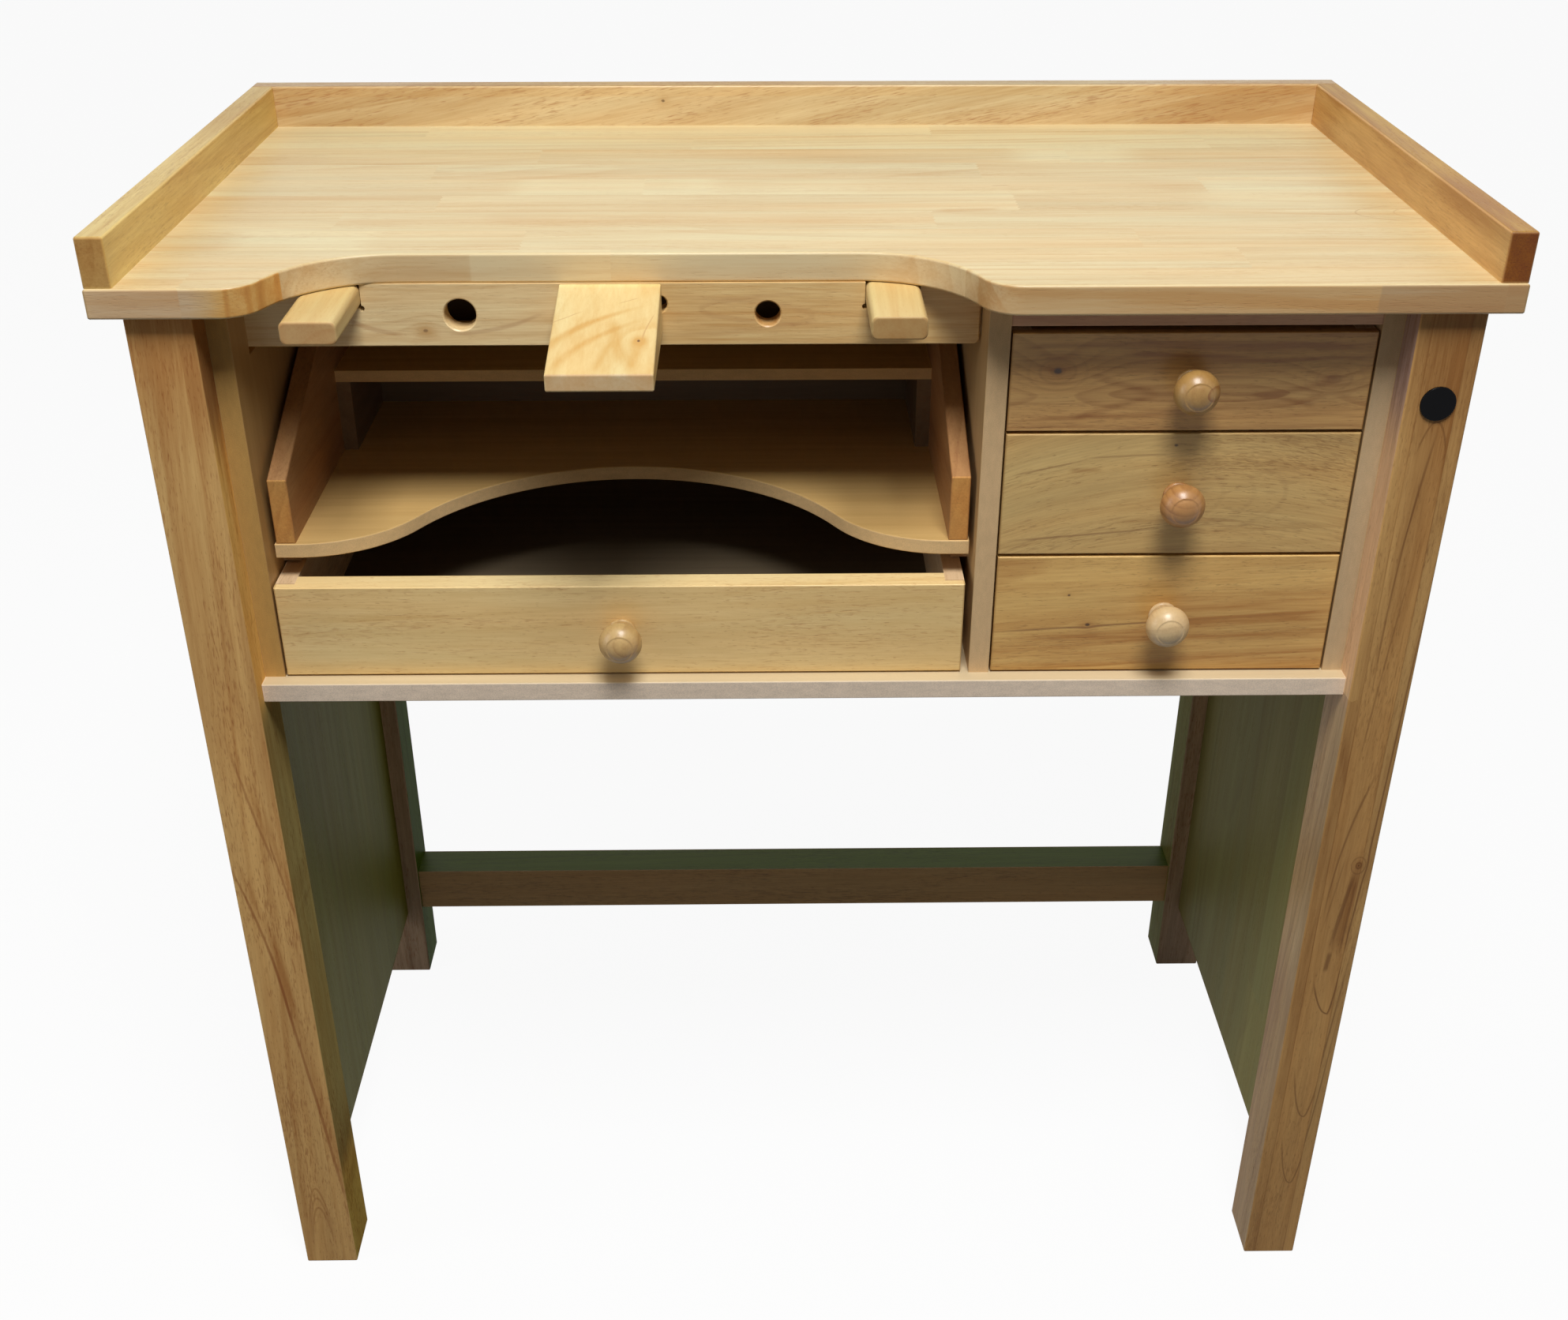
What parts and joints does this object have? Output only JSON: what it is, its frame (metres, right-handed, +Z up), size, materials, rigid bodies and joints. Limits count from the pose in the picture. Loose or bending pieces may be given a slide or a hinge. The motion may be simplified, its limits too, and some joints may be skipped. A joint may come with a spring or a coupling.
{
  "type": "jewelers bench",
  "caption": "Wooden jewellers' bench with a rimmed, scooped worktop, removable bench pin and armrests, pull-out tool tray, catch drawer and a stack of small drawers.",
  "frame": {"origin": "floor level, under the middle of the overall width and depth; the depth runs from the bench pin's tip to the back rim", "axes": "+X to the right as seen from the front, +Y from the worker towards the back, +Z up"},
  "size_m": [1, 0.543, 1.0095],
  "materials": {
    "top_wood": "clear satin lacquer over pale edge-glued hardwood",
    "rim_wood": "clear satin lacquer over orange-tan hardwood",
    "leg_wood": "clear satin lacquer over tan hardwood",
    "panel_wood": "clear satin lacquer over edge-glued hardwood",
    "stretcher_wood": "clear satin lacquer over laminated hardwood",
    "fibreboard": "sealed fibreboard with matt edges",
    "back_board": "thin hardboard",
    "apron_wood": "clear satin lacquer over hardwood",
    "rail_wood": "clear satin lacquer over hardwood",
    "hand_wood": "sanded yellow hardwood with a light oil",
    "tray_board": "wood-faced board with bare edges",
    "tray_wood": "clear satin lacquer over hardwood",
    "runner_wood": "planed hardwood",
    "front_wood": "clear satin lacquer over figured hardwood",
    "drawer_side_wood": "planed pale hardwood",
    "drawer_bottom_board": "thin plywood",
    "knob_wood": "gloss lacquer over turned hardwood",
    "screw_steel": "zinc-plated steel",
    "badge_black": "smooth gloss black"
  },
  "bodies": {
    "bench": {"apron": "apron_wood", "back_panel": "back_board", "back_rim": "rim_wood", "badge": "badge_black", "bottom_shelf": "fibreboard", "drawer_runners": "runner_wood", "drawer_top_rail": "rail_wood", "front_left_leg": "leg_wood", "front_right_leg": "leg_wood", "left_case_side": "fibreboard", "left_rim": "rim_wood", "left_side_panel": "panel_wood", "partition": "fibreboard", "rear_left_leg": "leg_wood", "rear_rail": "stretcher_wood", "rear_right_leg": "leg_wood", "rear_stretcher": "stretcher_wood", "right_case_side": "fibreboard", "right_rim": "rim_wood", "right_side_panel": "panel_wood", "worktop": "top_wood", "tray_runners": "runner_wood"},
    "catch_drawer": {"catch_drawer_front": "front_wood", "catch_drawer_left_side": "drawer_side_wood", "catch_drawer_right_side": "drawer_side_wood", "catch_drawer_back": "drawer_side_wood", "catch_drawer_bottom": "drawer_bottom_board", "catch_drawer_knob": "knob_wood", "catch_drawer_knob_screw": "screw_steel"},
    "top_drawer": {"top_drawer_front": "front_wood", "top_drawer_left_side": "drawer_side_wood", "top_drawer_right_side": "drawer_side_wood", "top_drawer_back": "drawer_side_wood", "top_drawer_bottom": "drawer_bottom_board", "top_drawer_knob": "knob_wood", "top_drawer_knob_screw": "screw_steel"},
    "middle_drawer": {"middle_drawer_front": "front_wood", "middle_drawer_left_side": "drawer_side_wood", "middle_drawer_right_side": "drawer_side_wood", "middle_drawer_back": "drawer_side_wood", "middle_drawer_bottom": "drawer_bottom_board", "middle_drawer_knob": "knob_wood", "middle_drawer_knob_screw": "screw_steel"},
    "bottom_drawer": {"bottom_drawer_front": "front_wood", "bottom_drawer_left_side": "drawer_side_wood", "bottom_drawer_right_side": "drawer_side_wood", "bottom_drawer_back": "drawer_side_wood", "bottom_drawer_bottom": "drawer_bottom_board", "bottom_drawer_knob": "knob_wood", "bottom_drawer_knob_screw": "screw_steel"},
    "tool_tray": {"tray_back": "tray_wood", "tray_base": "tray_board", "tray_left_support": "tray_wood", "tray_left_wall": "tray_wood", "tray_right_support": "tray_wood", "tray_right_wall": "tray_wood", "tray_shelf": "tray_board"},
    "left_armrest": {"left_armrest": "hand_wood"},
    "right_armrest": {"right_armrest": "hand_wood"},
    "bench_pin": {"bench_pin": "hand_wood"}
  },
  "joints": [
    {"name": "catch_drawer_slide", "type": "slide", "parent": "bench", "child": "catch_drawer", "axis": [0, -1, 0], "range_m": [0, 0.3]},
    {"name": "top_drawer_slide", "type": "slide", "parent": "bench", "child": "top_drawer", "axis": [0, -1, 0], "range_m": [0, 0.3]},
    {"name": "middle_drawer_slide", "type": "slide", "parent": "bench", "child": "middle_drawer", "axis": [0, -1, 0], "range_m": [0, 0.3]},
    {"name": "bottom_drawer_slide", "type": "slide", "parent": "bench", "child": "bottom_drawer", "axis": [0, -1, 0], "range_m": [0, 0.3]},
    {"name": "tool_tray_slide", "type": "slide", "parent": "bench", "child": "tool_tray", "axis": [0, -1, 0], "range_m": [0, 0.22]},
    {"name": "left_armrest_pull", "type": "slide", "parent": "bench", "child": "left_armrest", "axis": [0, -1, 0], "range_m": [0, 0.15]},
    {"name": "right_armrest_pull", "type": "slide", "parent": "bench", "child": "right_armrest", "axis": [0, -1, 0], "range_m": [0, 0.15]},
    {"name": "bench_pin_pull", "type": "slide", "parent": "bench", "child": "bench_pin", "axis": [0, -1, 0], "range_m": [0, 0.15]}
  ]
}
